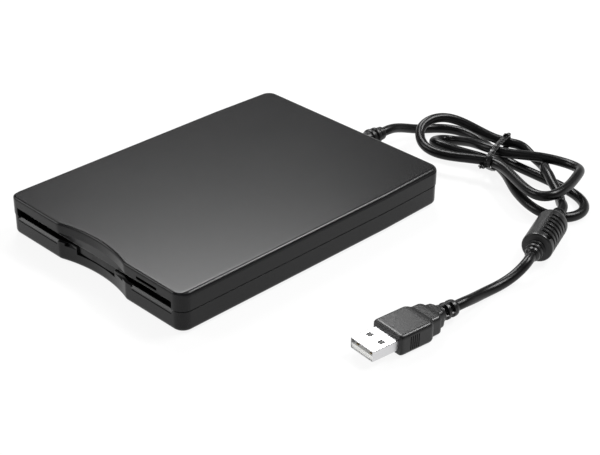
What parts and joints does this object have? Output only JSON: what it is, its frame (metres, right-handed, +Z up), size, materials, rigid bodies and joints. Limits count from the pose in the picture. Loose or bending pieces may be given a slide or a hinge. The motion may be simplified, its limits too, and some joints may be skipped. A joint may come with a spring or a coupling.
{
  "type": "external floppy disk drive",
  "caption": "Slim external floppy disk drive with a front slot, eject button, working load mechanism and a tied USB cord with a ferrite bead.",
  "frame": {"origin": "centre of the case's footprint, at the height of the feet's undersides", "axes": "+X to the right seen from the slot side, +Y from the slot side to the cord side, +Z up"},
  "size_m": [0.1699, 0.1994, 0.017],
  "materials": {
    "case_plastic": "fine moulded texture, dark charcoal",
    "door_plastic": "satin charcoal",
    "button_plastic": "satin charcoal",
    "light_pipe": "frosted clear acrylic",
    "led_epoxy": "tinted epoxy",
    "foot_rubber": "matt rubber",
    "sheet_steel": "zinc plated sheet",
    "bright_steel": "ground steel",
    "screw_steel": "plated screws",
    "carriage_plastic": "glass filled plastic",
    "head_ceramic": "polished ferrite and ceramic",
    "motor_can": "drawn can",
    "bearing_bronze": "sintered bronze",
    "coil_copper": "enamelled copper wire",
    "board_green": "solder resist",
    "chip_black": "moulded epoxy",
    "ribbon_amber": "polyimide film",
    "switch_plastic": "natural acetal",
    "plunger_plastic": "dark acetal",
    "cord_jacket": "satin black PVC",
    "tie_plastic": "twist tie, gloss black",
    "moulded_pvc": "moulded black PVC",
    "plug_metal": "nickel plated shell",
    "plug_core": "natural nylon",
    "contact_gold": "gold plated contacts"
  },
  "bodies": {
    "case": {"top_cover": "case_plastic", "bottom_cover": "case_plastic", "rubber_feet": "foot_rubber", "case_screws": "screw_steel", "light_pipe": "light_pipe", "indicator_led": "led_epoxy", "door_spring": "bright_steel", "eject_springs": "bright_steel", "drive_chassis": "sheet_steel", "chassis_screws": "screw_steel", "guide_rods": "bright_steel", "stepper_motor": "motor_can", "motor_board": "board_green", "stator_coils": "coil_copper", "spindle_bearing": "bearing_bronze", "main_board": "board_green", "board_chips": "chip_black", "usb_board": "board_green", "usb_chips": "chip_black", "clock_crystal": "bright_steel", "head_ribbon": "ribbon_amber", "link_ribbon": "ribbon_amber", "switch_housings": "switch_plastic", "strain_relief": "moulded_pvc", "cord_lead": "cord_jacket", "cord_hank": "cord_jacket", "cord_tie": "tie_plastic", "cord_link": "cord_jacket", "ferrite_bead": "moulded_pvc", "cord_tail": "cord_jacket", "plug_grip": "moulded_pvc", "plug_shell": "plug_metal", "plug_insulator": "plug_core", "plug_contacts": "contact_gold"},
    "door": {"dust_door": "door_plastic"},
    "eject_slide": {"slide_plate": "sheet_steel", "eject_button": "button_plastic"},
    "carrier": {"disk_carrier": "sheet_steel", "lift_pins": "bright_steel", "lever_stud": "bright_steel", "lever_spring": "bright_steel"},
    "lever": {"shutter_lever": "sheet_steel"},
    "carriage": {"head_carriage": "carriage_plastic", "lower_head": "head_ceramic", "arm_spring": "bright_steel"},
    "head_arm": {"upper_arm": "sheet_steel", "upper_head": "head_ceramic"},
    "screw": {"lead_screw": "bright_steel"},
    "spindle": {"spindle_rotor": "sheet_steel", "hub_plate": "bright_steel", "spindle_shaft": "bright_steel"},
    "hub_pin": {"drive_pin": "bright_steel"},
    "protect_switch": {"protect_plunger": "plunger_plastic"},
    "density_switch": {"density_plunger": "plunger_plastic"},
    "disk_switch": {"disk_plunger": "plunger_plastic"}
  },
  "joints": [
    {"name": "eject_travel", "type": "slide", "parent": "case", "child": "eject_slide", "axis": [0, -1, 0], "range_m": [0, 0.0045], "deforming": ["eject_springs"]},
    {"name": "carrier_lift", "type": "slide", "parent": "case", "child": "carrier", "axis": [0, 0, -1], "range_m": [0, 0.002]},
    {"name": "door_swing", "type": "hinge", "parent": "case", "child": "door", "pos_m": [0, -0.0667, 0.0132], "axis": [1, 0, 0], "range_deg": [0, 88], "stiffness_Nm_per_rad": 0.0006, "springref_deg": -5.73},
    {"name": "shutter_swing", "type": "hinge", "parent": "carrier", "child": "lever", "pos_m": [-0.038, 0.026, 0.0138], "axis": [0, 0, 1], "range_deg": [0, 49.5], "stiffness_Nm_per_rad": 0.0006, "springref_deg": -11.46},
    {"name": "head_seek", "type": "slide", "parent": "case", "child": "carriage", "axis": [0, -1, 0], "range_m": [0, 0.0148], "deforming": ["head_ribbon"]},
    {"name": "screw_turn", "type": "hinge", "parent": "case", "child": "screw", "pos_m": [-0.0205, 0.04, 0.0084], "axis": [0, -1, 0], "range_deg": [0, 1777]},
    {"name": "arm_drop", "type": "hinge", "parent": "carriage", "child": "head_arm", "pos_m": [0, 0.05105, 0.0126], "axis": [1, 0, 0], "range_deg": [0, 9.3]},
    {"name": "spindle_turn", "type": "hinge", "parent": "case", "child": "spindle", "pos_m": [0, -0.01535, 0.006], "axis": [0, 0, 1], "continuous": true},
    {"name": "drive_pin_press", "type": "slide", "parent": "spindle", "child": "hub_pin", "axis": [0, 0, -1], "range_m": [0, 0.0008], "stiffness_N_per_m": 40},
    {"name": "protect_press", "type": "slide", "parent": "case", "child": "protect_switch", "axis": [0, 0, -1], "range_m": [0, 0.001], "stiffness_N_per_m": 40},
    {"name": "density_press", "type": "slide", "parent": "case", "child": "density_switch", "axis": [0, 0, -1], "range_m": [0, 0.001], "stiffness_N_per_m": 40},
    {"name": "disk_press", "type": "slide", "parent": "case", "child": "disk_switch", "axis": [0, 0, -1], "range_m": [0, 0.001], "stiffness_N_per_m": 40}
  ],
  "couplings": [
    {"joint": "carrier_lift", "follows": "eject_travel", "ratio": 0.4444},
    {"joint": "arm_drop", "follows": "eject_travel", "rad_per_m": 36.06},
    {"joint": "screw_turn", "follows": "head_seek", "rad_per_m": 2094.4}
  ]
}
